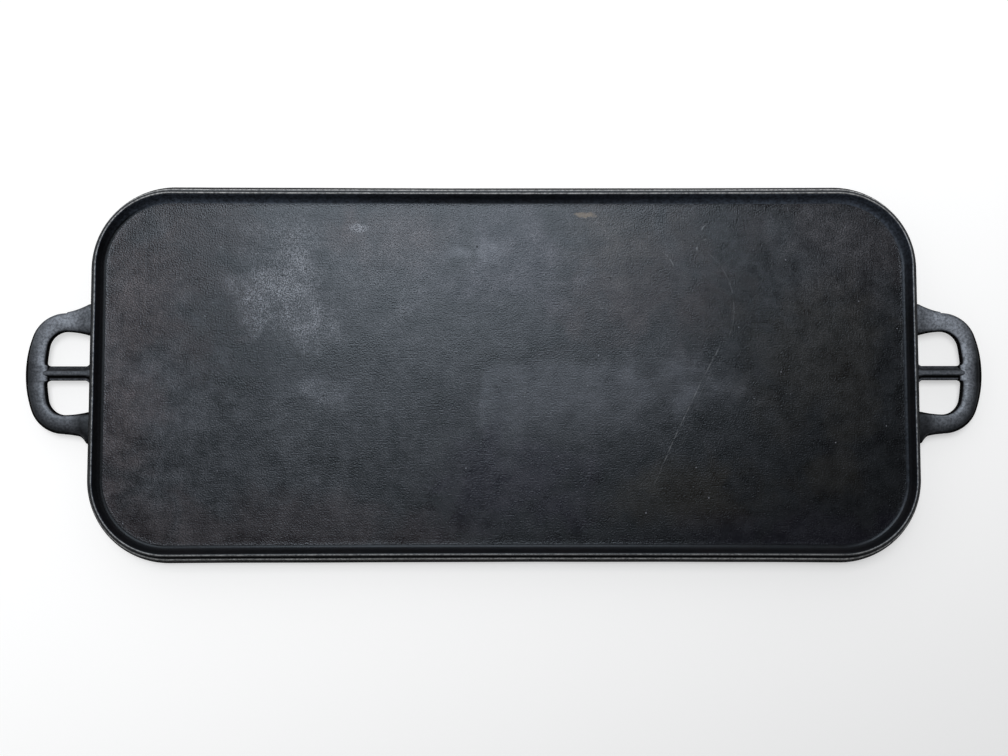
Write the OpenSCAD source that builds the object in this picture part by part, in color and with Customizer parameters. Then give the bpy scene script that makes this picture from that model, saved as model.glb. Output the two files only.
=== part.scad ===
// Long griddle of cast iron with a loop handle at each end.
// Millimetres, +Z up. The origin is the middle of the standing face, and +X runs out through the right handle.
// The casting is divided where its features meet: plate, rim, foot ring, handle loops and handle bars.

/* [Body] */
// Length of the body at its widest line, without the handles
body_length = 476; // [320:1:600]
// Width of the body at its widest line
body_width = 216; // [180:1:300]
// Corner radius at the widest line, seen from above
corner_radius = 48; // [25:0.5:60]

/* [Heights] */
// Height of the foot ring, from the standing face up to the widest line
foot_height = 4.7; // [3.5:0.1:8]
// Height of the plate's underside above the widest line
underside_rise = 1.6; // [0.8:0.1:4]
// Thickness of the cooking plate
plate_thickness = 4.2; // [3:0.1:7]
// Height of the crest above the cooking surface
rim_height = 5.5; // [4:0.1:10]
// Drop from the crest to the ledge outside it
ledge_drop = 5; // [3.5:0.1:6.5]

/* [Wall] */
// Run of the flared skirt, from the widest line in to the edge of the ledge
skirt_run = 2.2; // [1:0.1:4]
// Flat width of the ledge
ledge_width = 0.4; // [0.2:0.1:2]
// Run of the outer face, from the ledge in to the middle of the crest
crest_run = 2.2; // [1.8:0.1:4]
// Run of the inner face, from the middle of the crest in to the flat cooking surface
inner_run = 5.2; // [4:0.1:9]
// Thickness of the wall at the widest line
wall_thickness = 7; // [6.6:0.1:9]
// Distance from the widest line in to the outer edge of the foot
foot_inset = 1.2; // [0.5:0.1:2.5]
// Width of the foot from its outer edge to its inner edge
foot_width = 5.3; // [3.5:0.1:7]

/* [Wall rounding] */
// Radius of the crest
crest_radius = 1.2; // [0.8:0.1:1.6]
// Radius of the hollow between the inner face and the cooking surface
rim_fillet = 3; // [1:0.1:5]
// Radius of the edge of the ledge
ledge_radius = 0.8; // [0.4:0.1:1.4]
// Radius of the hollow between the ledge and the outer face
ledge_fillet = 0.6; // [0.3:0.1:1]
// Radius of the widest line
widest_radius = 1.2; // [0.6:0.1:2]
// Radius of the hollow under the edge of the plate
underside_fillet = 1.5; // [0.5:0.1:3]
// Radius of the edges of the foot
foot_radius = 1.2; // [0.6:0.1:1.5]

/* [Handle loops] */
// Reach of a handle beyond the widest line
handle_reach = 36; // [28:0.5:50]
// Width of a handle across its two arms
handle_width = 69.4; // [62:0.2:90]
// Width of an arm, seen from above
arm_width = 10.9; // [8:0.1:14]
// Width of the grip at the outer end, seen from above
grip_width = 11.9; // [9:0.1:15]
// Radius of the bowed outer end
end_radius = 64; // [50:0.5:120]
// Radius of the outer shoulders
shoulder_radius = 20; // [12:0.5:24]
// Radius of the bowed far side of the openings
opening_end_radius = 90; // [50:0.5:160]
// Radius of the rounded corners inside the loop
opening_radius = 10.5; // [4:0.5:14]
// Height of the crown above the widest line
crown_rise = 4.3; // [3:0.1:5.5]
// Depth of the loop below the widest line
belly_drop = 2.4; // [1.5:0.1:3]
// Distance from the inner edge of the loop to its crown
crown_inset = 4.6; // [3:0.1:5.5]
// Extra width on the outer side of an arm where it meets the wall
root_flare = 4.5; // [1:0.1:6]
// Extra width on the inner side of an arm where it meets the wall
opening_flare = 1.9; // [0.5:0.1:3]
// Length over which an arm widens towards the wall
flare_length = 14; // [8:0.5:24]

/* [Handle bars] */
// Width of the bar at the widest line
bar_width = 8.3; // [6:0.1:11]
// Width of the bar along its underside
bar_foot_width = 5; // [3:0.1:5.5]
// Height of the bar's ridge above the widest line
ridge_rise = 3.7; // [2.6:0.1:4]
// Radius of the ridge
ridge_radius = 1.4; // [0.8:0.1:1.8]
// Depth of the bar below the widest line
bar_drop = 2; // [1.2:0.1:2.2]
// Radius of the bar's lower edges
bar_radius = 0.7; // [0.3:0.1:0.9]

/* [Hidden] */

surface_iron = [0.2, 0.2, 0.21];
wall_iron = [0.11, 0.11, 0.12];
handle_iron = [0.16, 0.16, 0.18];

// Segments of a full circle, and the angle that one step of a section's rounding covers
$fn = 120;
rounding_step = 12;
// How far a cutting shape runs past what it cuts
overrun = 1;

underside_z = foot_height + underside_rise;
surface_z = underside_z + plate_thickness;
crest_z = surface_z + rim_height;
ledge_z = crest_z - ledge_drop;

// Places across the wall, measured outward from the widest line
ledge_x = -skirt_run - ledge_radius;
ledge_end_x = ledge_x - ledge_width;
crest_x = ledge_end_x - crest_run;
plate_x = crest_x - inner_run;

// Fillets are limited by the faces that they join, and the rim's to a share of the largest that would fit
fillet_share = 0.9;
largest_rim_fillet = (inner_run * inner_run + rim_height * rim_height) / (2 * rim_height) - crest_radius;
rim_fillet_fit = min(rim_fillet, fillet_share * largest_rim_fillet);
underside_fillet_fit = min(underside_fillet, underside_rise);

// Corners of the wall's section, anticlockwise: distance outward, height, radius
wall_corners = [
    [-foot_inset - foot_radius, foot_radius, foot_radius],
    [-widest_radius, foot_height, widest_radius],
    [ledge_x, ledge_z - ledge_radius, ledge_radius],
    [ledge_end_x, ledge_z + ledge_fillet, -ledge_fillet],
    [crest_x, crest_z - crest_radius, crest_radius],
    [plate_x, surface_z + rim_fillet_fit, -rim_fillet_fit],
    [plate_x - overrun, surface_z, 0],
    [plate_x - overrun, underside_z, 0],
    [-wall_thickness - underside_fillet_fit, underside_z - underside_fillet_fit, -underside_fillet_fit],
    [-foot_inset - foot_width + foot_radius, foot_radius, foot_radius]
];

// Corners of a handle bar's section, anticlockwise: distance across, height above the widest line, radius
bar_corners = [
    [bar_width / 2 - bar_radius, 0, bar_radius],
    [0, ridge_rise - ridge_radius, ridge_radius],
    [bar_radius - bar_width / 2, 0, bar_radius],
    [bar_radius - bar_foot_width / 2, bar_radius - bar_drop, bar_radius],
    [bar_foot_width / 2 - bar_radius, bar_radius - bar_drop, bar_radius]
];

// Handle loop: stations along each stretch of the band, and points round its section
end_steps = 8;
shoulder_steps = 7;
arm_steps = 7;
section_points = 24;
// Fullness of the section: 2 is an ellipse, more is squarer
inner_fullness = 3;
outer_fullness = 2.2;
belly_fullness = 2.8;
// How far the arms and the bar run into the wall before they are cut to it
root_depth = skirt_run + 2 * overrun;
// The bar runs into the grip as far as the crown
bar_end = handle_reach - grip_width + crown_inset;

// Direction that faces outward from the straight face between two rounded corners
function face_normal(a, b) =
    atan2(b.y - a.y, b.x - a.x) - acos((a.z - b.z) / norm([b.x - a.x, b.y - a.y]));

// Signed turn from one direction to another, between -180 and 180 degrees
function turn(from, to) = (to - from + 540) % 360 - 180;

// Points round one corner: a positive radius rounds it, a negative one fills it, zero leaves it sharp
function corner_points(before, corner, after) =
    let (
        start = face_normal(before, corner),
        sweep = turn(start, face_normal(corner, after)),
        steps = corner.z == 0 ? 1 : max(1, ceil(abs(sweep) / rounding_step))
    )
    [for (i = [0 : corner.z == 0 ? 0 : steps])
        let (angle = start + sweep * i / steps)
        [corner.x + corner.z * cos(angle), corner.y + corner.z * sin(angle)]];

// Closed outline through rounded corners
function rounded_outline(corners) =
    let (count = len(corners))
    [for (i = [0 : count - 1])
        each corner_points(corners[(i + count - 1) % count], corners[i], corners[(i + 1) % count])];

// Widening of an arm's edge at a distance out from the widest line
function flare_at(out, flare) = flare * pow(max(0, 1 - out / flare_length), 2);

// One edge of the band from the middle of the outer end round to a root, as [distance out, distance across]
function half_edge(half_width, reach, end_r, shoulder_r, flare) =
    let (
        end_x = reach - end_r,
        shoulder_y = half_width - shoulder_r,
        shoulder_x = end_x + sqrt(pow(end_r - shoulder_r, 2) - shoulder_y * shoulder_y),
        join = atan2(shoulder_y, shoulder_x - end_x)
    )
    [
        for (i = [0 : end_steps])
            let (angle = join * i / end_steps)
            [end_x + end_r * cos(angle), end_r * sin(angle)],
        for (i = [1 : shoulder_steps])
            let (angle = join + (90 - join) * i / shoulder_steps)
            [shoulder_x + shoulder_r * cos(angle), shoulder_y + shoulder_r * sin(angle)],
        for (i = [1 : arm_steps])
            let (out = shoulder_x - (shoulder_x + root_depth) * i / arm_steps)
            [out, half_width + flare_at(out, flare)]
    ];

// A whole edge of the band, from root to root
function whole_edge(half) =
    [for (i = [len(half) - 1 : -1 : 1]) [half[i].x, -half[i].y], each half];

outer_edge = whole_edge(half_edge(handle_width / 2, handle_reach, end_radius, shoulder_radius, root_flare));
inner_edge = whole_edge(half_edge(
    handle_width / 2 - arm_width, handle_reach - grip_width, opening_end_radius,
    opening_radius, -opening_flare));

// One coordinate of a superellipse
function fuller(t, fullness) = sign(t) * pow(abs(t), 2 / fullness);

// Section of the band: the share of the way from its inner to its outer edge, and the height
crown_share = crown_inset / grip_width;
band_section = [
    for (i = [0 : section_points - 1])
        let (
            angle = 360 * i / section_points,
            across = cos(angle),
            up = sin(angle),
            fullness = up < 0 ? belly_fullness : across < 0 ? inner_fullness : outer_fullness,
            side = across < 0 ? crown_share : 1 - crown_share,
            rise = up < 0 ? belly_drop : crown_rise
        )
        [crown_share + side * fuller(across, fullness), foot_height + rise * fuller(up, fullness)]
];

// The wall's section, x outward from the widest line
module wall_section() {
    polygon(rounded_outline(wall_corners));
}

// The part of the wall's section above the widest line, out from the plate
module rim_section() {
    intersection() {
        wall_section();
        translate([plate_x, foot_height])
            square([overrun - plate_x, crest_z]);
    }
}

// The part of the wall's section below the widest line
module foot_section() {
    intersection() {
        wall_section();
        translate([plate_x, -overrun])
            square([overrun - plate_x, foot_height + overrun]);
    }
}

// A straight run of a section along the end of the body, facing +X
module end_run(half_length, run) {
    translate([half_length, run / 2, 0])
        rotate([90, 0, 0])
            linear_extrude(height = run)
                children();
}

// A section carried round the rounded rectangle of the body
module around_body() {
    straight_x = body_length - 2 * corner_radius;
    straight_y = body_width - 2 * corner_radius;
    for (half_turn = [0, 180])
        rotate(half_turn) {
            end_run(body_length / 2, straight_y)
                children();
            rotate(90)
                end_run(body_width / 2, straight_x)
                    children();
            translate([straight_x / 2, straight_y / 2, 0])
                rotate_extrude(angle = 90)
                    translate([corner_radius, 0])
                        children();
            translate([-straight_x / 2, straight_y / 2, 0])
                rotate(90)
                    rotate_extrude(angle = 90)
                        translate([corner_radius, 0])
                            children();
        }
}

// A rounded rectangle about the origin
module rounded_rectangle(length, width, radius) {
    square([length - 2 * radius, width], center = true);
    square([length, width - 2 * radius], center = true);
    for (x = [-1, 1], y = [-1, 1])
        translate([x * (length / 2 - radius), y * (width / 2 - radius)])
            circle(radius);
}

// The wall behind a handle, which its roots are cut to
module wall_behind_handle() {
    end_run(body_length / 2, handle_width + 2 * (root_flare + arm_width))
        wall_section();
}

// The band of a handle loop at the +X end, before its roots are cut
module handle_band() {
    last = len(outer_edge) - 1;
    count = section_points;
    points = [
        for (k = [0 : last], s = band_section)
            let (place = inner_edge[k] + (outer_edge[k] - inner_edge[k]) * s.x)
            [place.x, place.y, s.y]
    ];
    sides = [
        for (k = [0 : last - 1], i = [0 : count - 1])
            let (
                a = k * count + i,
                b = k * count + (i + 1) % count
            )
            each [[a, b, b + count], [a, b + count, a + count]]
    ];
    root = [for (i = [count - 1 : -1 : 0]) i];
    far_root = [for (i = [0 : count - 1]) last * count + i];
    translate([body_length / 2, 0, 0])
        polyhedron(points, concat(sides, [root, far_root]));
}

// A handle loop at the +X end
module handle_loop() {
    difference() {
        handle_band();
        wall_behind_handle();
    }
}

// The bar across a handle loop at the +X end
module handle_bar() {
    difference() {
        translate([body_length / 2 - root_depth, 0, foot_height])
            rotate([90, 0, 90])
                linear_extrude(height = root_depth + bar_end)
                    polygon(rounded_outline(bar_corners));
        wall_behind_handle();
        handle_band();
    }
}

module cooking_plate() {
    color(surface_iron)
        translate([0, 0, underside_z])
            linear_extrude(height = plate_thickness)
                rounded_rectangle(
                    body_length + 2 * plate_x, body_width + 2 * plate_x, corner_radius + plate_x);
}

module rim() {
    color(wall_iron)
        around_body()
            rim_section();
}

module foot_ring() {
    color(wall_iron)
        around_body()
            foot_section();
}

module right_handle() {
    color(handle_iron)
        handle_loop();
}

module right_handle_bar() {
    color(handle_iron)
        handle_bar();
}

module left_handle() {
    color(handle_iron)
        mirror([1, 0, 0])
            handle_loop();
}

module left_handle_bar() {
    color(handle_iron)
        mirror([1, 0, 0])
            handle_bar();
}

cooking_plate();
rim();
foot_ring();
left_handle();
left_handle_bar();
right_handle();
right_handle_bar();
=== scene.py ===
import math
import random

import bmesh
import bpy
import numpy as np
from mathutils import Matrix, Vector, noise


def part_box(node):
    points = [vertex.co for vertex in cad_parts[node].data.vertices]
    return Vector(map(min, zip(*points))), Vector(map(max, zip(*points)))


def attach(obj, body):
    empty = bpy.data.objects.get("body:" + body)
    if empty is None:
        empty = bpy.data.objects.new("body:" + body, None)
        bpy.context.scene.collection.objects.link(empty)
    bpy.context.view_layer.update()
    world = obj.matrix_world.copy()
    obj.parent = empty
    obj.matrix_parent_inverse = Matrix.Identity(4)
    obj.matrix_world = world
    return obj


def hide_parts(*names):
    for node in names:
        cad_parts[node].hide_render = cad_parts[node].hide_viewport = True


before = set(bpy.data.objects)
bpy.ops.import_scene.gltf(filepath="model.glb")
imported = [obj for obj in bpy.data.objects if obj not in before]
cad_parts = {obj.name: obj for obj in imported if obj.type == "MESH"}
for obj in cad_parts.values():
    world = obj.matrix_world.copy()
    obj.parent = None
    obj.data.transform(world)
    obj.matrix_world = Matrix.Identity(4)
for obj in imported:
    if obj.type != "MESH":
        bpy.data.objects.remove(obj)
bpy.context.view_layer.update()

MM = 0.001


def box_mm(node):
    """A CAD node's lowest and highest corners in millimetres."""
    low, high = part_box(node)
    return np.array(low) / MM, np.array(high) / MM


# Main sizes, from the frame
rim_low, rim_high = box_mm("rim")
plate_low, plate_high = box_mm("cooking_plate")
handle_low, handle_high = box_mm("right_handle")
bar_low, bar_high = box_mm("right_handle_bar")
HALF_LENGTH, HALF_WIDTH, CREST_Z = rim_high
WIDEST_Z = rim_low[2]
UNDERSIDE_Z = plate_low[2]
SURFACE_Z = plate_high[2]
PLATE_INSET = HALF_LENGTH - plate_high[0]
HANDLE_REACH = handle_high[0] - HALF_LENGTH
CROWN_RISE = handle_high[2] - WIDEST_Z
BELLY_DROP = WIDEST_Z - handle_low[2]
RIDGE_RISE = bar_high[2] - WIDEST_Z
BAR_DROP = WIDEST_Z - bar_low[2]
BAR_HALF_WIDTH = bar_high[1]

# Wall, with places across it measured inward from the widest line
CORNER_RADIUS = 48
LEDGE_DROP = 5
LEDGE_Z = CREST_Z - LEDGE_DROP
LEDGE_INSET = 3
LEDGE_END_INSET = 3.4
CREST_INSET = 5.6
WALL_THICKNESS = 7
FOOT_INSET = 1.2
FOOT_WIDTH = 5.3
CREST_RADIUS = 1.2
RIM_FILLET = 3
LEDGE_RADIUS = 0.8
LEDGE_FILLET = 0.6
WIDEST_RADIUS = 1.2
UNDERSIDE_FILLET = 1.5
FOOT_RADIUS = 1.2
OVERRUN = 1

# Handle loops. The crown's place across the band is a share of its width, at the grip and at the roots.
HANDLE_WIDTH = 69.4
ARM_WIDTH = 10.9
GRIP_WIDTH = 11.9
END_RADIUS = 64
SHOULDER_RADIUS = 20
OPENING_END_RADIUS = 90
OPENING_RADIUS = 10.5
CROWN_INSET = 4.6
CROWN_SHARES = (CROWN_INSET / GRIP_WIDTH, 0.5)
ROOT_DEPTH = 4.2
# Widenings of the arms towards the wall as (extra width, length), on the far (+Y) and the near (-Y) arm
ROOT_FLARES = (((5.2, 20),), ((2.4, 17), (3.4, 4.5)))
OPENING_FLARES = (((-2.1, 14),), ((-1.7, 14),))
# Fullness of the band's section, where 2 is an ellipse and more is squarer, at the grip and at the roots
INNER_FULLNESS = (3, 3.4)
OUTER_FULLNESS = (2.2, 3)
BELLY_FULLNESS = 2.8
# Distances out from the wall between which the section turns from its root form to its grip form
ROOT_FORM = (1, 11)
# How far the crown dips from the wall to the grip
GRIP_DIP = 0.4
# How high up the band's inner and outer sides, as a share, their sooty finish reaches
HANDLE_SIDE = (0.75, 0.7)
CROWN_FINISH, SIDE_FINISH = range(2)
# For the left and the right loop: what the wear and painted sheen gain on the band's outer and far sides,
# what they lose at the grip, and their level. The sheen paints sides that face the light lighter, others
# darker.
HANDLE_SHEEN_SIDES = {-1: (-1.1, 0.75), 1: (-1.6, 0.6)}
GRIP_WEAR_AND_SHEEN_LOSS = {-1: 0.22, 1: 0.15}
HANDLE_WEAR_AND_SHEEN_LEVELS = {-1: 1.01, 1: 1.05}
INNER_SIDE_GAIN = 1.5
MOST_HANDLE_WEAR_AND_SHEEN = 1.5
# Heights, as a share, between which the inner side's wear and painted sheen starts, and how fast the outer
# side's falls off
INNER_SIDE_WEAR_AND_SHEEN = (0.5, 0.85)
OUTER_WEAR_AND_SHEEN_FALL = 1.6
# Level of an arm's wear and painted sheen, lighter on the far arm, which faces the light, and its painted
# shade at the root: each in the middle, and what it gains at the far arm
ARM_WEAR_AND_SHEEN = (0.75, 0.45)
ROOT_SHADE = (0.65, -0.3)

# Handle bars
BAR_RADIUS = 0.6
BAR_FOOT_HALF_WIDTH = 2.5
RIDGE_HALF_FLAT = 0.6
RIDGE_RADIUS = 1.1
LIP_RISE = 1.1
LIP_HOLLOW = 0.5
BAR_FILLET = 2
WALL_FILLET = 1.6
# The rubbed top of a bar: its middle and half width. Beside it the flanks are sooty.
BAR_TOP_MIDDLE = 0.4
BAR_TOP_HALF_WIDTH = 1.7
# Wear and painted highlights along a bar's ridge, lip and far edge: place across the bar, half width and
# strength
BAR_WEAR_AND_HIGHLIGHT_LINES = (
    (0, 0.9, 0.7),
    (0.9 - BAR_HALF_WIDTH, 0.35, 1.2),
    (BAR_HALF_WIDTH - 0.5, 0.3, 0.9),
)

# Fineness of the meshes
ROUNDING_STEP = math.radians(8)
STATION_STEP = 1.5
PLATE_RINGS = 34
UNDERSIDE_RINGS = 12
RING_CROWDING = 1.7
END_STEPS = 44
SHOULDER_STEPS = 20
ARM_STEPS = 24
SECTION_POINTS = 56
BAR_STEPS = 36
SHARP_ANGLE = math.radians(50)
MERGE_DISTANCE = 1e-4

# Unevenness of the casting: the long sides bow in, the skirt and the crest waver, and the crest is nicked
BOW = 0.5
BOW_REACH = 190
SKIRT_WAVER = 0.25
SKIRT_WAVE_LENGTH = 55
SKIRT_WAVE_SEED = 4.3
CREST_WAVER = 0.16
CREST_WAVE_LENGTH = 14
CREST_WAVE_SEED = 7.7
CREST_WAVER_DEPTH = 2
NICK_COUNT = 46
NICK_LENGTHS = (0.7, 2.2)
NICK_DEPTHS = (0.1, 0.32)
NICK_SEED = 11
PLATE_WAVER = 0.05
PLATE_WAVE_LENGTH = 34
PLATE_WAVE_SEED = 1.9
PLATE_CALM_EDGE = 14
HANDLE_WAVER = 0.12
HANDLE_WAVE_LENGTH = 9
HANDLE_WAVE_SEED = 5.1
# The plate's edge turns up a little into the rim's fillet
EDGE_RISE = 0.1
EDGE_RISE_WIDTH = 2.5
EDGE_SLOPE = math.atan(2 * EDGE_RISE / EDGE_RISE_WIDTH)


def smoothstep(low, high, value):
    """0 below low, 1 above high and a smooth rise between them; low may be the higher of the two."""
    t = np.clip((np.asarray(value, float) - low) / (high - low), 0, 1)
    return t * t * (3 - 2 * t)


def between(pair, share):
    """The value at a share of the way from the first of a pair to the second."""
    return pair[0] + (pair[1] - pair[0]) * share


def waver(points, wave_length, seed):
    """Smooth noise from -1 to 1 at points given in millimetres."""
    lift = Vector((seed, 2 * seed, 3 * seed))
    return np.array([noise.noise(Vector(p) / wave_length + lift) for p in points])


def dips(points, wave_length, seed):
    """Smooth noise from 0 to 1 at points given in millimetres."""
    return 0.5 + 0.5 * waver(points, wave_length, seed)


# Sections
def face_normal(a, b):
    """Direction that faces outward from the straight face between two rounded corners (x, z, radius)."""
    run, rise = b[0] - a[0], b[1] - a[1]
    return math.atan2(rise, run) - math.acos((a[2] - b[2]) / math.hypot(run, rise))


def rounded_outline(corners):
    """Closed outline through corners: a positive radius rounds, a negative one fills, zero is sharp."""
    points = []
    for i, corner in enumerate(corners):
        x, z, radius = corner
        if radius == 0:
            points.append((x, z))
            continue
        start = face_normal(corners[i - 1], corner)
        end = face_normal(corner, corners[(i + 1) % len(corners)])
        sweep = (end - start + 3 * math.pi) % (2 * math.pi) - math.pi
        count = max(2, math.ceil(abs(sweep) / ROUNDING_STEP) + 1)
        for angle in start + sweep * np.linspace(0, 1, count):
            points.append((x + radius * math.cos(angle), z + radius * math.sin(angle)))
    return np.array(points)


def clipped(points, axis, limit, side):
    """The part of a closed outline on one side (1 above, -1 below) of a limit along x (0) or z (1)."""
    kept = []
    for i, point in enumerate(points):
        before = points[i - 1]
        ahead, behind = side * (point[axis] - limit), side * (before[axis] - limit)
        if ahead * behind < 0:
            kept.append(before + (point - before) * behind / (behind - ahead))
        if ahead >= 0:
            kept.append(point)
    return np.array(kept)


def wall_sections():
    """The rim's and the foot ring's sections: x outward from the widest line, and height."""
    corners = [
        (-FOOT_INSET - FOOT_RADIUS, FOOT_RADIUS, FOOT_RADIUS),
        (-WIDEST_RADIUS, WIDEST_Z, WIDEST_RADIUS),
        (-LEDGE_INSET, LEDGE_Z - LEDGE_RADIUS, LEDGE_RADIUS),
        (-LEDGE_END_INSET, LEDGE_Z + LEDGE_FILLET, -LEDGE_FILLET),
        (-CREST_INSET, CREST_Z - CREST_RADIUS, CREST_RADIUS),
        (RIM_FILLET * math.sin(EDGE_SLOPE) - PLATE_INSET,
         SURFACE_Z + EDGE_RISE + RIM_FILLET * math.cos(EDGE_SLOPE), -RIM_FILLET),
        (-PLATE_INSET - OVERRUN, SURFACE_Z + EDGE_RISE - OVERRUN * math.tan(EDGE_SLOPE), 0),
        (-PLATE_INSET - OVERRUN, UNDERSIDE_Z, 0),
        (-WALL_THICKNESS - UNDERSIDE_FILLET, UNDERSIDE_Z - UNDERSIDE_FILLET, -UNDERSIDE_FILLET),
        (-FOOT_INSET - FOOT_WIDTH + FOOT_RADIUS, FOOT_RADIUS, FOOT_RADIUS),
    ]
    wall = rounded_outline(corners)
    rim = clipped(clipped(wall, 1, WIDEST_Z, 1), 0, -PLATE_INSET, 1)
    return rim, clipped(wall, 1, WIDEST_Z, -1)


# The body's run of stations
def body_stations():
    """Points on the widest line, anticlockwise from the +X end, and the outward direction at each."""
    straight = np.array((HALF_LENGTH - CORNER_RADIUS, HALF_WIDTH - CORNER_RADIUS))
    points, outward = [], []
    for quarter, signs in enumerate(((1, 1), (-1, 1), (-1, -1), (1, -1))):
        centre = straight * signs
        steps = round(CORNER_RADIUS * math.pi / 2 / STATION_STEP)
        for angle in (quarter + np.arange(steps) / steps) * math.pi / 2:
            facing = np.array((math.cos(angle), math.sin(angle)))
            points.append(centre + CORNER_RADIUS * facing)
            outward.append(facing)
        angle = (quarter + 1) * math.pi / 2
        facing = np.array((math.cos(angle), math.sin(angle)))
        along = np.array((-facing[1], facing[0]))
        run = 2 * straight[quarter % 2]
        for distance in np.linspace(0, run, round(run / STATION_STEP), endpoint=False):
            points.append(centre + CORNER_RADIUS * facing + along * distance)
            outward.append(facing)
    return np.array(points), np.array(outward)


def bowed(points):
    """Points with the long sides drawn in a little towards their middle."""
    points = np.array(points, float)
    points[..., 1] *= 1 - BOW / HALF_WIDTH * (1 - (points[..., 0] / BOW_REACH) ** 2)
    return points


def nick_depths(points):
    """How far the crest is nicked at each station."""
    draw = random.Random(NICK_SEED)
    steps = np.linalg.norm(np.roll(points, -1, 0) - points, axis=1)
    along = np.cumsum(steps)
    depth = np.zeros(len(points))
    for _ in range(NICK_COUNT):
        centre = draw.uniform(0, along[-1])
        length = draw.uniform(*NICK_LENGTHS)
        deep = draw.uniform(*NICK_DEPTHS)
        depth = np.maximum(depth, deep * np.exp(-(((along - centre) / length) ** 2)))
    return depth


STATIONS, OUTWARD = body_stations()
FLAT_STATIONS = np.c_[STATIONS, np.zeros(len(STATIONS))]
SKIRT_LEAN = SKIRT_WAVER * dips(FLAT_STATIONS, SKIRT_WAVE_LENGTH, SKIRT_WAVE_SEED)
CREST_DIP = CREST_WAVER * dips(FLAT_STATIONS, CREST_WAVE_LENGTH, CREST_WAVE_SEED) + nick_depths(STATIONS)


def around_body(section):
    """A section's points carried round the body, as an array of stations by points by (x, y, z)."""
    out, height = section[:, 0], section[:, 1]
    lean = SKIRT_LEAN[:, None] * smoothstep(-CREST_INSET, 0, out)
    dip = CREST_DIP[:, None] * smoothstep(CREST_Z - CREST_WAVER_DEPTH, CREST_Z, height)
    flat = STATIONS[:, None] + OUTWARD[:, None] * (out - lean)[..., None]
    return bowed(np.dstack((flat, height - dip)))


# Wear and painted highlight across the wall: how far they reach from the crest and from the ledge's edge.
# The ends are worn on the crest's inner shoulder, where the painted highlight falls. The sides are worn on
# its top and on the ledge.
SHOULDER_INSET = 0.5
SHOULDER_DROP = 0.1
CREST_WEAR_AND_HIGHLIGHT = 0.3
EDGE_WEAR_AND_HIGHLIGHT = 0.38
EDGE_WEAR_AND_HIGHLIGHT_PLACE = (LEDGE_RADIUS / 2 - LEDGE_INSET, LEDGE_Z - LEDGE_RADIUS / 8)
END_EDGE_WEAR_AND_HIGHLIGHT = 0.05
# The crest's wear and painted highlight grow towards the far left, and the ledge's a little more on the
# near side:
# each a share in the middle, and what it gains at the right end and at the far side
CREST_WEAR_AND_HIGHLIGHT_SHARES = (0.7, -0.11, 0.22)
EDGE_WEAR_AND_HIGHLIGHT_SHARES = (1.05, 0, -0.12)
# Where the wall's finish changes, inward from the widest line: the skirt's on the sides and at the ends,
# the outer wall's and the inner wall's. The fillet's ends at a height above the plate.
SKIRT_FINISH_INSETS = (2.4, 4.8)
END_FACING = (0.4, 0.95)
OUTER_WALL_INSETS = (3.45, 4.8)
INNER_FINISH_INSET = 6.2
FILLET_FINISH_RISE = 0.5
CREST_FINISH, FILLET_FINISH, SKIRT_FINISH, INNER_FINISH = range(4)
# The inner wall has a painted bluish sheen, a little stronger on the far side, away from its middle, and
# round to the right end
INNER_SHEEN = 0.055
LEAST_INNER_SHEEN = 0.12
FAR_SHEEN_GAIN = 1.4
MIDDLE_SHEEN_SHARE = 0.35
LEFT_SHEEN_FALL = 3
INNER_SHEEN_RISE = (10, 100)
INNER_SHEEN_GAP = (10, 160)
# The fillet has a painted highlight at the right end, and is dull at the left end, which is kept as a value
# below zero that makes it rougher
FILLET_SHEEN = 0.036
FILLET_DULLNESS = 0.1


# Meshes
def make_piece(name, points, faces, node, wear_and_sheen, finishes=None):
    """A smooth piece in the row frame that stands for a CAD node, with its wear and painted sheen kept as
    an attribute.
    """
    mesh = bpy.data.meshes.new(name)
    mesh.from_pydata((np.asarray(points) * MM).tolist(), [], faces)
    mesh.attributes.new("wear_and_sheen", "FLOAT", "POINT").data.foreach_set("value", np.asarray(wear_and_sheen, np.float32))
    if finishes is not None:
        mesh.polygons.foreach_set("material_index", np.asarray(finishes, np.int32))
    tidy = bmesh.new()
    tidy.from_mesh(mesh)
    bmesh.ops.remove_doubles(tidy, verts=tidy.verts, dist=MERGE_DISTANCE * MM)
    bmesh.ops.recalc_face_normals(tidy, faces=tidy.faces)
    tidy.to_mesh(mesh)
    tidy.free()
    mesh.shade_smooth()
    mesh.set_sharp_from_angle(angle=SHARP_ANGLE)
    piece = bpy.data.objects.new(name, mesh)
    bpy.context.scene.collection.objects.link(piece)
    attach(piece, "root")
    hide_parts(node)
    return piece


def strip_faces(rows, columns, closed_rows, closed_columns):
    """Quads over a grid of points numbered row by row, with either direction closed on itself."""
    faces = []
    for r in range(rows if closed_rows else rows - 1):
        for c in range(columns if closed_columns else columns - 1):
            after_r, after_c = (r + 1) % rows, (c + 1) % columns
            faces.append((r * columns + c, after_r * columns + c,
                          after_r * columns + after_c, r * columns + after_c))
    return faces


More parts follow.
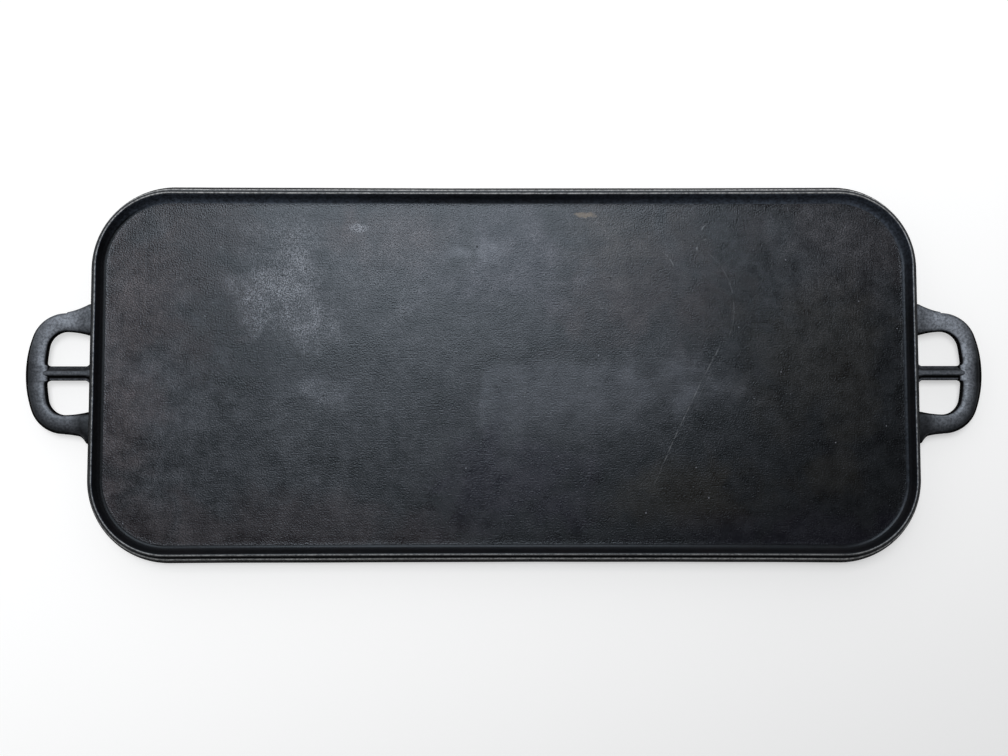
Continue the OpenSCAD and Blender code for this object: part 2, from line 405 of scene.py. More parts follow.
def inside_sheen_and_dullness(section):
    """Painted sheen of the inner wall, and of the fillet below it a painted highlight at the right end and
    dullness at the left, at each station and point of the section.
    """
    inside = (section[:, 0] < -INNER_FINISH_INSET) * (section[:, 1] > SURFACE_Z)
    along, away = STATIONS.T[..., None]
    to_right, to_far = OUTWARD.T[..., None]
    # Painted bluish sheen, stronger on the far side and away from the middle, and less at the left end
    off_middle = between((MIDDLE_SHEEN_SHARE, 1), smoothstep(*INNER_SHEEN_GAP, np.abs(along)))
    off_left = 1 - np.clip(-to_right, 0, 1) ** LEFT_SHEEN_FALL
    far = smoothstep(*INNER_SHEEN_RISE, away) * (1 + FAR_SHEEN_GAIN * np.clip(to_far, 0, 1))
    inner_sheen = INNER_SHEEN * np.maximum(far * off_middle * off_left, LEAST_INNER_SHEEN) * inside
    # Painted highlight on the fillet at the right end; below zero at the left end it makes the fillet
    # rougher
    fillet = inside * (section[:, 1] < SURFACE_Z + FILLET_FINISH_RISE)
    fillet_sheen_and_dullness = np.where(to_right > 0, FILLET_SHEEN, FILLET_DULLNESS) * to_right * fillet
    return inner_sheen, fillet_sheen_and_dullness


def ring_wear_and_sheen(section):
    """Wear and painted highlight along the crest and the ledge's edge, and painted sheen inside, at each
    station and point of the section.
    """
    at_end, beside = np.abs(OUTWARD).T[..., None]
    crest = np.hstack((-CREST_INSET - SHOULDER_INSET * at_end, CREST_Z - SHOULDER_DROP * at_end))
    from_crest = np.linalg.norm(section - crest[:, None], axis=2)
    from_edge = np.linalg.norm(section - EDGE_WEAR_AND_HIGHLIGHT_PLACE, axis=1)
    places = np.c_[np.ones(len(STATIONS)), STATIONS / (HALF_LENGTH, HALF_WIDTH)]
    # Painted highlight: the crest's grows towards the far left, and the ledge's towards the near side
    crest_share = (places @ CREST_WEAR_AND_HIGHLIGHT_SHARES)[:, None]
    edge_share = (places @ EDGE_WEAR_AND_HIGHLIGHT_SHARES)[:, None] * np.maximum(beside, END_EDGE_WEAR_AND_HIGHLIGHT)
    crest_wear_and_highlight = crest_share * np.exp(-((from_crest / CREST_WEAR_AND_HIGHLIGHT) ** 2))
    edge_wear_and_highlight = edge_share * np.exp(-((from_edge / EDGE_WEAR_AND_HIGHLIGHT) ** 2))
    inner_sheen, fillet_sheen_and_dullness = inside_sheen_and_dullness(section)
    return np.max((crest_wear_and_highlight, edge_wear_and_highlight, inner_sheen), 0) + fillet_sheen_and_dullness


def ring_finishes(section):
    """The finish of each face of the wall, at each station."""
    across, height = (section + np.roll(section, -1, 0)).T / 2
    skirt_inset = between(SKIRT_FINISH_INSETS, smoothstep(*END_FACING, np.abs(OUTWARD[:, :1])))
    finishes = np.full((len(STATIONS), len(section)), CREST_FINISH)
    inside = across < -INNER_FINISH_INSET
    finishes[:, inside] = INNER_FINISH
    finishes[:, inside & (height < SURFACE_Z + FILLET_FINISH_RISE)] = FILLET_FINISH
    outer_wall = (-across > OUTER_WALL_INSETS[0]) & (-across < OUTER_WALL_INSETS[1]) & (height > LEDGE_Z)
    finishes[(across > -skirt_inset) | outer_wall | (height < WIDEST_Z)] = SKIRT_FINISH
    return finishes


def make_ring(name, section, node):
    """A closed ring of the wall."""
    points = around_body(section)
    rows, columns = points.shape[:2]
    return make_piece(name, points.reshape(-1, 3), strip_faces(rows, columns, True, True), node,
                      ring_wear_and_sheen(section).ravel(), ring_finishes(section).ravel())


def plate_rings(count, height):
    """Rings of points from the plate's edge in to its middle line, at one height."""
    edge = STATIONS - OUTWARD * PLATE_INSET
    middle = np.zeros_like(edge)
    reach = HALF_LENGTH - HALF_WIDTH
    middle[:, 0] = np.clip(edge[:, 0], -reach, reach)
    rings = []
    for share in np.linspace(0, 1, count + 1) ** RING_CROWDING:
        flat = edge + (middle - edge) * share
        rings.append(np.c_[flat, np.full(len(flat), height)])
    return np.array(rings)


def make_plate():
    """The plate: a slightly uneven top, a flat underside, and the joint face between them."""
    top = plate_rings(PLATE_RINGS, SURFACE_Z)
    flat = top.reshape(-1, 3)
    inset = np.linalg.norm(flat[:, :2] - np.tile(top[0, :, :2], (len(top), 1)), axis=1)
    calm = smoothstep(0, PLATE_CALM_EDGE, inset)
    flat[:, 2] += PLATE_WAVER * calm * (waver(flat, PLATE_WAVE_LENGTH, PLATE_WAVE_SEED) - 1)
    flat[:, 2] += EDGE_RISE * np.clip(1 - inset / EDGE_RISE_WIDTH, 0, 1) ** 2
    under = plate_rings(UNDERSIDE_RINGS, UNDERSIDE_Z)
    points = bowed(np.concatenate((top[::-1], under)))
    rows, columns = points.shape[:2]
    return make_piece("griddle_plate", points.reshape(-1, 3), strip_faces(rows, columns, False, True),
                      "cooking_plate", np.zeros(rows * columns))


# Handles
def half_edge(half_width, reach, end_radius, shoulder_radius, flare):
    """One edge of the band from the middle of its outer end round to a root, as (out, across)."""
    end_out = reach - end_radius
    shoulder_across = half_width - shoulder_radius
    shoulder_out = end_out + math.sqrt((end_radius - shoulder_radius) ** 2 - shoulder_across**2)
    join = math.atan2(shoulder_across, shoulder_out - end_out)
    end = np.linspace(0, join, END_STEPS + 1)
    shoulder = np.linspace(join, math.pi / 2, SHOULDER_STEPS + 1)[1:]
    arm = np.linspace(shoulder_out, -ROOT_DEPTH, ARM_STEPS + 1)[1:]
    widened = half_width + sum(extra * np.clip(1 - arm / length, 0, 1) ** 2 for extra, length in flare)
    return np.concatenate((
        np.c_[end_out + end_radius * np.cos(end), end_radius * np.sin(end)],
        np.c_[shoulder_out + shoulder_radius * np.cos(shoulder),
              shoulder_across + shoulder_radius * np.sin(shoulder)],
        np.c_[arm, widened],
    ))


def whole_edge(half_width, reach, end_radius, shoulder_radius, flares):
    """A whole edge of the band, from the near (-Y) root to the far one."""
    far, near = (half_edge(half_width, reach, end_radius, shoulder_radius, flare) for flare in flares)
    return np.concatenate((near[:0:-1] * (1, -1), far))


def corner_fillet(distance, radius):
    """How far a round fillet stands out from one face at a distance from the other face."""
    left = np.clip(radius - np.asarray(distance, float), 0, radius)
    return radius - np.sqrt(radius**2 - left**2)


def fuller(t, fullness):
    """One coordinate of a superellipse."""
    return np.sign(t) * np.abs(t) ** (2 / fullness)


def handle_edges():
    """The band's outer and inner edges, with the inner one filleted into the bar."""
    half = HANDLE_WIDTH / 2
    outer = whole_edge(half, HANDLE_REACH, END_RADIUS, SHOULDER_RADIUS, ROOT_FLARES)
    inner = whole_edge(half - ARM_WIDTH, HANDLE_REACH - GRIP_WIDTH, OPENING_END_RADIUS, OPENING_RADIUS,
                       OPENING_FLARES)
    from_bar = np.abs(inner[:, 1]) - BAR_HALF_WIDTH
    at_grip = inner[:, 0] > HANDLE_REACH / 2
    inner[:, 0] -= corner_fillet(from_bar, BAR_FILLET) * at_grip
    return outer, inner


def handle_wear_and_sheen(side, outer, inner, across, up, root):
    """Wear and painted sheen at each station and point of a band: rubbed on top, painted lighter on the
    sides and the far arm that face the light, and painted darker at the roots.
    """
    run = outer - inner
    outward, sideways = (run / np.linalg.norm(run, axis=1, keepdims=True)).T[..., None]
    # Painted sheen: the sides of the band that face the light gain, the others lose
    out_gain, far_gain = HANDLE_SHEEN_SIDES[side]
    slope = out_gain * outward * np.where(across < 0, INNER_SIDE_GAIN, 1)
    slope = slope + far_gain * sideways * np.abs(sideways)
    rubbed = np.where(across < 0, smoothstep(*INNER_SIDE_WEAR_AND_SHEEN, up), np.clip(up, 0, 1) ** OUTER_WEAR_AND_SHEEN_FALL)
    level = 1 - GRIP_WEAR_AND_SHEEN_LOSS[side] * np.clip(outward, 0, 1)
    wear_and_sheen = rubbed * np.clip(level + across * slope, 0, MOST_HANDLE_WEAR_AND_SHEEN)
    # The far arm, facing the light, is painted lighter, and the roots get a painted shade
    far = inner[:, 1:] / (HANDLE_WIDTH / 2)
    arm_level = ARM_WEAR_AND_SHEEN[0] + ARM_WEAR_AND_SHEEN[1] * far
    root_loss = ROOT_SHADE[0] + ROOT_SHADE[1] * far
    return wear_and_sheen * (1 - root_loss * root) * arm_level * HANDLE_WEAR_AND_SHEEN_LEVELS[side]


def handle_band(side):
    """Points of a band, as stations by points by (x, y, z), the wear and painted sheen at each, and the
    finishes round it.
    """
    outer, inner = handle_edges()
    root = smoothstep(ROOT_FORM[1], ROOT_FORM[0], inner[:, 0])[:, None]
    angle = 2 * math.pi * np.arange(SECTION_POINTS) / SECTION_POINTS
    across, up = np.cos(angle), np.sin(angle)
    side_fullness = np.where(across < 0, between(INNER_FULLNESS, root), between(OUTER_FULLNESS, root))
    fullness = np.where(up < 0, BELLY_FULLNESS, side_fullness)
    crown = between(CROWN_SHARES, root)
    share = crown + np.where(across < 0, crown, 1 - crown) * fuller(across, fullness)
    rise = np.where(up < 0, BELLY_DROP, CROWN_RISE - GRIP_DIP * (1 - root))
    flat = inner[:, None] + (outer - inner)[:, None] * share[..., None]
    points = np.dstack((flat, WIDEST_Z + rise * fuller(up, fullness)))
    points[..., 0] = side * (HALF_LENGTH + points[..., 0])
    finishes = np.where(up < np.where(across < 0, *HANDLE_SIDE), SIDE_FINISH, CROWN_FINISH)
    return points, handle_wear_and_sheen(side, outer, inner, across, up, root), finishes


def loft_faces(rows, columns):
    """Quads round a loft, with its two ends closed."""
    faces = strip_faces(rows, columns, False, True)
    last = (rows - 1) * columns
    return [*faces, tuple(range(columns)), tuple(range(last + columns - 1, last - 1, -1))]


def make_loop(side, word):
    """A handle's loop at the +X (1) or -X (-1) end."""
    points, wear_and_sheen, finishes = handle_band(side)
    rows, columns = points.shape[:2]
    finishes = [*np.tile(finishes, rows - 1), SIDE_FINISH, SIDE_FINISH]
    flat = points.reshape(-1, 3)
    above = flat[:, 2] > WIDEST_Z
    flat[:, 2] -= HANDLE_WAVER * dips(flat, HANDLE_WAVE_LENGTH, HANDLE_WAVE_SEED + side) * above
    return make_piece(f"{word}_loop", flat, loft_faces(rows, columns), f"{word}_handle",
                      wear_and_sheen.ravel(), finishes)


def bar_section():
    """A handle bar's section, across and above the widest line, with a low lip along its near side."""
    edge = BAR_HALF_WIDTH - BAR_RADIUS
    return rounded_outline([
        (edge, 0, BAR_RADIUS),
        (RIDGE_HALF_FLAT, RIDGE_RISE - RIDGE_RADIUS, RIDGE_RADIUS),
        (-RIDGE_HALF_FLAT, RIDGE_RISE - RIDGE_RADIUS, RIDGE_RADIUS),
        (-edge + 2 * LIP_HOLLOW, LIP_RISE + LIP_HOLLOW, -LIP_HOLLOW),
        (-edge, LIP_RISE - BAR_RADIUS, BAR_RADIUS),
        (-BAR_FOOT_HALF_WIDTH + BAR_RADIUS, BAR_RADIUS - BAR_DROP, BAR_RADIUS),
        (BAR_FOOT_HALF_WIDTH - BAR_RADIUS, BAR_RADIUS - BAR_DROP, BAR_RADIUS),
    ])


def make_bar(side, word):
    """A handle's bar, from inside the wall to the crown of the band, widened a little at the wall."""
    section = bar_section()
    across, above = section.T
    out = np.linspace(-ROOT_DEPTH, HANDLE_REACH - GRIP_WIDTH + CROWN_INSET, BAR_STEPS + 1)
    widening = 1 + corner_fillet(np.maximum(out, 0), WALL_FILLET) / BAR_HALF_WIDTH
    points = np.empty((len(out), len(section), 3))
    points[..., 0] = side * (HALF_LENGTH + out)[:, None]
    points[..., 1] = across * widening[:, None]
    points[..., 2] = WIDEST_Z + above
    # Wear and painted highlights along the ridge, the lip and the far edge
    lines = [strength * np.exp(-(((across - place) / half) ** 2))
             for place, half, strength in BAR_WEAR_AND_HIGHLIGHT_LINES]
    wear_and_sheen = np.max(lines, 0) * (above > 0)
    flank = np.abs(across - BAR_TOP_MIDDLE) > BAR_TOP_HALF_WIDTH
    finishes = np.tile(np.where(flank, SIDE_FINISH, CROWN_FINISH), len(out) - 1)
    return make_piece(f"{word}_bar", points.reshape(-1, 3), loft_faces(*points.shape[:2]),
                      f"{word}_handle_bar", np.tile(wear_and_sheen, len(out)),
                      [*finishes, SIDE_FINISH, SIDE_FINISH])


rim_section, foot_section = wall_sections()
plate = make_plate()
rim = make_ring("griddle_rim", rim_section, "rim")
foot = make_ring("griddle_foot", foot_section, "foot_ring")
handles = []
for side, word in ((-1, "left"), (1, "right")):
    handles += [make_loop(side, word), make_bar(side, word)]

# Colours
SHEEN_TINT = (0.75, 0.87, 1, 1)
CARBON = (0.002, 0.002, 0.0023)
BLACK = (0.001, 0.001, 0.001)
BROWN = (0.012, 0.0075, 0.008)
OCHRE = (0.009, 0.007, 0.0042)
VIOLET = (0.006, 0.005, 0.010)
PALE = (0.125, 0.134, 0.160)
GRAINS = (0.27, 0.287, 0.33)
WORN_GRAINS = (0.35, 0.372, 0.425)
BROWN_GRAINS = (0.315, 0.28, 0.295)
OCHRE_GRAINS = (0.29, 0.285, 0.275)
VIOLET_GRAINS = (0.28, 0.278, 0.33)
# The next three are colours of wear that also stand for painted highlights on the crest, ledge and handles,
# and a painted bluish sheen inside the rim and on its fillet
BARE_AND_HIGHLIGHT = (0.66, 0.67, 0.68)
RUBBED_AND_SHEEN = (0.335, 0.368, 0.425)
BLUISH_SHEEN = (0.42, 0.52, 0.70)
SOOT = (0.006, 0.0062, 0.0066)
TAN = (0.25, 0.20, 0.145)
SCRATCHED = (0.19, 0.20, 0.215)
# How far the usual range of noise is drawn out
NOISE_SPREAD = 2.2


# Materials
class Shader:
    """The nodes of a material or a world, with short calls for the kinds used here."""

    def __init__(self, owner):
        self.owner = owner
        owner.use_nodes = True
        self.tree = owner.node_tree
        self.tree.nodes.clear()

    def add(self, kind, inputs, output=0, **settings):
        """One node: inputs by name or number, as a value or another node's output."""
        made = self.tree.nodes.new("ShaderNode" + kind)
        for key, value in settings.items():
            setattr(made, key, value)
        for key, value in inputs.items():
            if isinstance(value, bpy.types.NodeSocket):
                self.tree.links.new(value, made.inputs[key])
            else:
                made.inputs[key].default_value = value
        return made.outputs[output] if made.outputs else None

    def math(self, operation, a, b=0.0):
        return self.add("Math", {0: a, 1: b}, operation=operation)

    def times(self, first, *others):
        """The product of outputs and values."""
        for other in others:
            first = self.math("MULTIPLY", first, other)
        return first

    def scaled_sum(self, *terms):
        """The sum of outputs, each given with what it is multiplied by."""
        total = 0.0
        for value, factor in terms:
            total = self.add("Math", {0: value, 1: factor, 2: total}, operation="MULTIPLY_ADD")
        return total

    def vector(self, operation, a, b=(0, 0, 0)):
        return self.add("VectorMath", {0: a, 1: b}, operation=operation)

    def measure(self, operation, a, b=(0, 0, 0)):
        """A number worked out from vectors, such as a length."""
        return self.add("VectorMath", {0: a, 1: b}, "Value", operation=operation)

    def ramp(self, value, low, high, to_low=0.0, to_high=1.0):
        """A smooth step from to_low at low to to_high at high."""
        inputs = {0: value, 1: low, 2: high, 3: to_low, 4: to_high}
        return self.add("MapRange", inputs, interpolation_type="SMOOTHSTEP")

    def mix(self, factor, a, b):
        """A blend of two colours, each three numbers or an output."""
        a, b = (c if isinstance(c, bpy.types.NodeSocket) else (*c, 1) for c in (a, b))
        return self.add("Mix", {0: factor, 6: a, 7: b}, 2, data_type="RGBA")

    def mix_values(self, factor, a, b):
        """A blend of two numbers."""
        return self.add("Mix", {0: factor, 2: a, 3: b})

    def spread(self, value, width=NOISE_SPREAD, middle=0.5):
        """Noise drawn out about a middle, from about 0 to 1 unless told otherwise."""
        return self.scaled_sum((value, width), (1, middle - width / 2))

    def noise(self, place, size, detail=3.0, roughness=0.55, distortion=0.0):
        """Noise with features of a size in millimetres."""
        inputs = {"Vector": place, "Scale": 1 / size, "Detail": detail, "Roughness": roughness,
                  "Distortion": distortion}
        return self.add("TexNoise", inputs)

    def place(self):
        """The place on the part, in millimetres."""
        here = self.add("TexCoord", {}, "Object")
        return self.add("VectorMath", {0: here, "Scale": 1 / MM}, operation="SCALE")

    def finish(self, colour, roughness, height, depth, shine):
        """The surface itself, with a bump of a depth in millimetres."""
        bump = self.add("Bump", {"Strength": 1.0, "Distance": depth * MM, "Height": height})
        surface = self.add("BsdfPrincipled", {
            "Base Color": colour, "Roughness": roughness, "Specular IOR Level": shine,
            "Specular Tint": SHEEN_TINT, "Normal": bump})
        self.add("OutputMaterial", {"Surface": surface})
        return self.owner


# Noise of the plate's seasoning: size in millimetres, detail, roughness and distortion
CLOUD_NOISE = (30, 5, 0.6, 0.5)
MOTTLE_NOISE = (11, 5, 0.68)
GRAIN_NOISE = (0.8, 0)
SPECK_NOISE = (0.66, 2, 0.7, 0.3)
# Ragged edges of the patches, with how far they are drawn out
RAGGED_NOISE = (26, 3, 0.5, 0.5)
RAGGED_SPREAD = 3.2
# Grinding lines are noise drawn out lengthwise, and crosswise towards the ends
LINE_NOISE = (1.1, 2, 0.6)
LINE_SQUEEZE = 0.06
LINE_TURN = (140, 215)
# What each noise or mark adds to the haze, wear, dust, roughness and height of the plate
HAZE_WEIGHTS = {"mottle": 0.10, "clouds": 0.08, "speckle": 0.10, "ground": 0.06}
WORN_WEIGHTS = {"mottle": 1.5, "all": 0.1}
DUST_WEIGHTS = {"mottle": 1.9, "clouds": 0.9, "ground": 0.9, "all": -0.95}
ROUGH_WEIGHTS = {"all": 0.236, "clouds": 0.058, "mottle": 0.05, "speckle": 0.02, "smooth": -0.035,
                 "band": -0.03, "left_edge": -0.02, "worn": 0.055, "pitted": 0.2}
HEIGHT_WEIGHTS = {"grain": 0.8, "ground": 0.3, "pitted": -0.4}
PLATE_BUMP = 0.125
PLATE_SHINE = 0.41

# Marks on the plate. Patches are given by their middle, half sizes and strength.
# They fade between two distances from their middle, counted in half sizes.
PATCH_FADE = (1.4, 0.3)
# Patches worn to pale grains, and the levels of the specks where a grain starts
GRAINY_PATCHES = (
    ((-121, 53), (27, 33), 0.85),
    ((-108, 25), (18, 13), 0.6),
    ((-123, 84), (26, 18), 0.42),
    ((-66, 68), (46, 30), 0.18),
    ((-20, 68.5), (14, 6), 0.4),
    ((-82.5, 83), (6.5, 3), 1.8),
    ((2, 70), (40, 28), 0.2),
    ((-107, -11), (16, 7), 0.22),
)
WORN_SPECKS = (0.43, 0.64)
# A thin dust of pale grains all over, which grows along a direction towards the far left as painted light,
# between two distances from the middle
DUST_AND_LIGHT_SIDE = (-0.4, 0.92, 0)
DUST_AND_LIGHT_RAMP = (-140, 90)
DUST_AND_LIGHT_SHARES = (0.03, 0.25)
DUST_SPECKS = (0.35, 0.65)
LEAST_DUST = 0.15
# The dust thins out as a painted shade, and the plate is smoother, next to the wall at the left end
LEFT_EDGE = (-222, -236)
LEFT_EDGE_SHADE = 0.75
# Patches with less dust
CLEAN_PATCHES = (
    ((-106, 8), (42, 12), 0.65),
    ((-150, 40), (40, 60), 0.75),
    ((-146, -40), (32, 70), 0.3),
    ((-70, -6), (30, 14), 0.3),
    ((126, 50), (36, 44), 0.4),
    ((-176, 22), (30, 34), 0.3),
)
# A smoother band next to the wall: its width, its corners' radius, and the middle of one corner
BAND_WIDTH = 9
BAND_CORNER_RADIUS = CORNER_RADIUS - PLATE_INSET
BAND_CORNER = (HALF_LENGTH - CORNER_RADIUS, HALF_WIDTH - CORNER_RADIUS, 0)
# Patches with an even grey haze
HAZY_PATCHES = (
    ((-8, 74), (56, 28), 0.3),
    ((-23, 68.5), (12, 6.5), 5.0),
    ((-15, 69), (11, 6.5), 3.0),
    ((-106, -10), (24, 10), 1.0),
    ((72, -7), (46, 18), 1.8),
    ((-204, 0), (30, 9), 0.9),
    ((-190, -24), (30, 11), 0.8),
    ((-226, -30), (12, 60), 0.8),
    ((-150, -70), (70, 30), 0.3),
)
# Patches where burnt fat has tinted the seasoning and the dust: reddish brown, ochre and violet
BROWN_PATCHES = (
    ((-205, 46), (48, 58), 1.0),
    ((-168, 86), (42, 22), 0.8),
    ((-226, -30), (24, 60), 1.0),
    ((-140, -93), (120, 22), 0.7),
    ((-60, 80), (36, 20), 0.8),
    ((-90, 81), (18, 14), 1.0),
    ((-46, 78), (20, 12), 1.0),
    ((66, 58), (42, 46), 0.8),
    ((200, 74), (52, 34), 0.4),
)
OCHRE_PATCHES = (
    ((183, 8), (40, 44), 0.55),
    ((60, 80), (40, 22), 0.4),
    ((100, -71), (56, 18), 0.8),
    ((187, -57), (22, 15), 0.5),
)
VIOLET_PATCHES = (
    ((12, -62), (46, 34), 0.9),
    ((0, 66), (40, 32), 0.8),
    ((165, -96), (90, 18), 0.5),
)
TINTS = (
    (BROWN_PATCHES, BROWN, BROWN_GRAINS),
    (OCHRE_PATCHES, OCHRE, OCHRE_GRAINS),
    (VIOLET_PATCHES, VIOLET, VIOLET_GRAINS),
)
# Patches where the seasoning is smoother and looks darker
SMOOTH_PATCHES = (
    ((-164, 20), (36, 38), 1.0),
    ((-104, 10), (40, 12), 1.1),
    ((10, -72), (50, 30), 1.0),
    ((126, 46), (30, 50), 0.7),
    ((165, -92), (90, 26), 0.8),
    ((-20, 22), (20, 16), 0.5),
)
# A hazy patch with a clear, frayed left and top edge, which fades towards the right and the near side
RUBBED_LEFT, RUBBED_RIGHT = (-17, -11), (50, 110)
RUBBED_TOP, RUBBED_BOTTOM = (8, 1), (-16, -46)
RUBBED_SLANT = 0.05
RUBBED_FRAY = 5
RUBBED_STRENGTH = 1.3
# Scratches: start, a point on the way, end and strength
SCRATCHES = (
    ((127, 22.6), (105.4, -18.4), (85, -63), 0.62),
    ((126, 13), (113.4, -13), (99, -44), 0.13),
    ((119, 4), (112, -11), (104, -26), 0.16),
    ((111.8, 73.2), (131.5, 38), (123.7, 12.9), 0.3),
    ((118.3, 86.6), (115, 84.8), (113.1, 81.9), 1.4),
    ((117, 76.7), (113.5, 76.4), (110.6, 70.4), 1.4),
    ((91.7, 69.2), (95.2, 65.2), (97.4, 60.5), 0.8),
    ((12.6, -2), (12.4, -8), (11.4, -14), 0.5),
    ((-119, 6), (-117, 9), (-115.6, 11), 0.4),
)
SCRATCH_WIDTH = 0.5
SCRATCH_WAVE_LENGTH = 14
# Shares of its length over which a scratch starts and ends, and how far behind its chord it is cut off
SCRATCH_START, SCRATCH_END = (-0.03, 0.12), (1.03, 0.88)
SCRATCH_CUT = (-2, -1)
# Scratches are broken by noise: two levels of it, and the strength left at each
BREAK_NOISE = (5, 3)
BREAK_RAMP = (0.4, 0.6, 0.1, 1)
# Strewn spots: spacing, radius and the share of places with one
PALE_SPOTS = (8, 0.5, 0.35)
DARK_SPOTS = (13, 0.7, 0.45)
PALE_SPOT_STRENGTH = 0.75
SPOT_CORE = 0.4
PITS = ((103.2, 75.6), (-15.9, 72.1), (-103.2, -13.2))
PIT_RADIUS = 0.75
# A spot of tan residue with a frayed edge
RESIDUE_MIDDLE, RESIDUE_HALF_SIZES = (46, 90.6), (6.8, 1.9)
RESIDUE_NOISE = (2.2, 4, 0.7)
RESIDUE_FRAY = 2
RESIDUE_FADE = (2.0, 1.6)
RESIDUE_STRENGTH = 0.7


def distance_from(shader, place, middle, half_sizes=(1, 1)):
    """Distance across the plate from the middle of a mark, counted in its half sizes."""
    away = shader.vector("SUBTRACT", place, (*middle, 0))
    scaled = shader.vector("MULTIPLY", away, (1 / half_sizes[0], 1 / half_sizes[1], 0))
    return shader.measure("LENGTH", scaled)


def patches(shader, place, ragged, listed):
    """The strength of the listed patches, with ragged edges."""
    total = 0.0
    for middle, half_sizes, strength in listed:
        distance = shader.math("ADD", distance_from(shader, place, middle, half_sizes), ragged)
        total = shader.math("MAXIMUM", total, shader.ramp(distance, *PATCH_FADE, 0, strength))
    return total


def rubbed_patch(shader, place, ragged):
    """The strength of the hazy patch with two clear edges."""
    x = shader.measure("DOT_PRODUCT", place, (1, 0, 0))
    y = shader.measure("DOT_PRODUCT", place, (0, 1, 0))
    frayed_x = shader.scaled_sum((ragged, RUBBED_FRAY), (x, 1))
    frayed_y = shader.scaled_sum((ragged, RUBBED_FRAY), (x, -RUBBED_SLANT), (y, 1))
    edges = (shader.ramp(frayed_x, *RUBBED_LEFT), shader.ramp(frayed_y, *RUBBED_TOP),
             shader.ramp(x, *RUBBED_RIGHT, 1, 0), shader.ramp(y, *RUBBED_BOTTOM, 1, 0))
    return shader.times(RUBBED_STRENGTH, *edges)


def arc_through(start, middle, end):
    """The centre and radius of the circle through three points."""
    a, b, c = (np.array(p) for p in (start, middle, end))
    rows = 2 * np.array((b - a, c - a))
    centre = np.linalg.solve(rows, (b @ b - a @ a, c @ c - a @ a))
    return centre, np.linalg.norm(a - centre)


def scratches(shader, place):
    """The strength of the scratches, each an arc that wanders a little and is broken in places."""
    drift = shader.add("TexNoise", {"Vector": place, "Scale": 1 / SCRATCH_WAVE_LENGTH}, "Color")
    wander = shader.vector("MULTIPLY", shader.vector("ADD", drift, place), (1, 1, 0))
    total = 0.0
    for start, middle, end, strength in SCRATCHES:
        centre, radius = arc_through(start, middle, end)
        chord = np.subtract(end, start)
        square = np.array((-chord[1], chord[0])) / np.linalg.norm(chord)
        side = square * math.copysign(1, square @ np.subtract(middle, start))
        reach = shader.measure("DISTANCE", wander, (*centre, 0))
        away = shader.math("ABSOLUTE", shader.math("SUBTRACT", reach, radius))
        from_start = shader.vector("SUBTRACT", wander, (*start, 0))
        beyond = shader.measure("DOT_PRODUCT", from_start, (*side, 0))
        along = shader.measure("DOT_PRODUCT", from_start, (*chord / (chord @ chord), 0))
        line = shader.ramp(away, SCRATCH_WIDTH, 0, 0, strength)
        arc = shader.ramp(beyond, *SCRATCH_CUT)
        ends = shader.times(shader.ramp(along, *SCRATCH_START), shader.ramp(along, *SCRATCH_END))
        total = shader.math("MAXIMUM", total, shader.times(line, arc, ends))
    broken = shader.ramp(shader.noise(place, *BREAK_NOISE), *BREAK_RAMP)
    return shader.times(total, broken)


def spots(shader, place, spacing, radius, share):
    """Small round spots strewn over a share of the cells of an uneven grid."""
    cells = {"Vector": place, "Scale": 1 / spacing}
    near = shader.add("TexVoronoi", cells, "Distance")
    chosen = shader.add("TexVoronoi", cells, "Color")
    mask = shader.ramp(near, radius / spacing, SPOT_CORE * radius / spacing)
    return shader.times(mask, shader.math("LESS_THAN", chosen, share))


def pits(shader, place):
    """The strength of the dark pits: strewn ones, and those at places of their own."""
    total = spots(shader, place, *DARK_SPOTS)
    for middle in PITS:
        pit = shader.ramp(distance_from(shader, place, middle), PIT_RADIUS, PIT_RADIUS / 2)
        total = shader.math("MAXIMUM", total, pit)
    return total


def wall_band(shader, place):
    """The strength of the smoother band next to the wall."""
    flat = shader.vector("ABSOLUTE", shader.vector("MULTIPLY", place, (1, 1, 0)))
    from_corner = shader.vector("MAXIMUM", shader.vector("SUBTRACT", flat, BAND_CORNER), (0, 0, 0))
    distance = shader.measure("LENGTH", from_corner)
    return shader.ramp(distance, BAND_CORNER_RADIUS - BAND_WIDTH, BAND_CORNER_RADIUS)


def residue(shader, place):
    """The strength of the spot of residue."""
    distance = distance_from(shader, place, RESIDUE_MIDDLE, RESIDUE_HALF_SIZES)
    frayed = shader.scaled_sum((distance, 1), (shader.noise(place, *RESIDUE_NOISE), RESIDUE_FRAY))
    return shader.ramp(frayed, *RESIDUE_FADE, 0, RESIDUE_STRENGTH)


def grinding_lines(shader, place):
    """Fine lines along the plate, and across it at its ends."""
    along, across = (shader.noise(shader.vector("MULTIPLY", place, squeeze), *LINE_NOISE)
                     for squeeze in ((LINE_SQUEEZE, 1, 1), (1, LINE_SQUEEZE, 1)))
    from_middle = shader.measure("DOT_PRODUCT", shader.vector("ABSOLUTE", place), (1, 0, 0))
    return shader.mix_values(shader.ramp(from_middle, *LINE_TURN), along, across)


def weighed(shader, marks, weights):
    """The sum of the named marks, each times its weight."""
    return shader.scaled_sum(*((marks[name], weight) for name, weight in weights.items()))


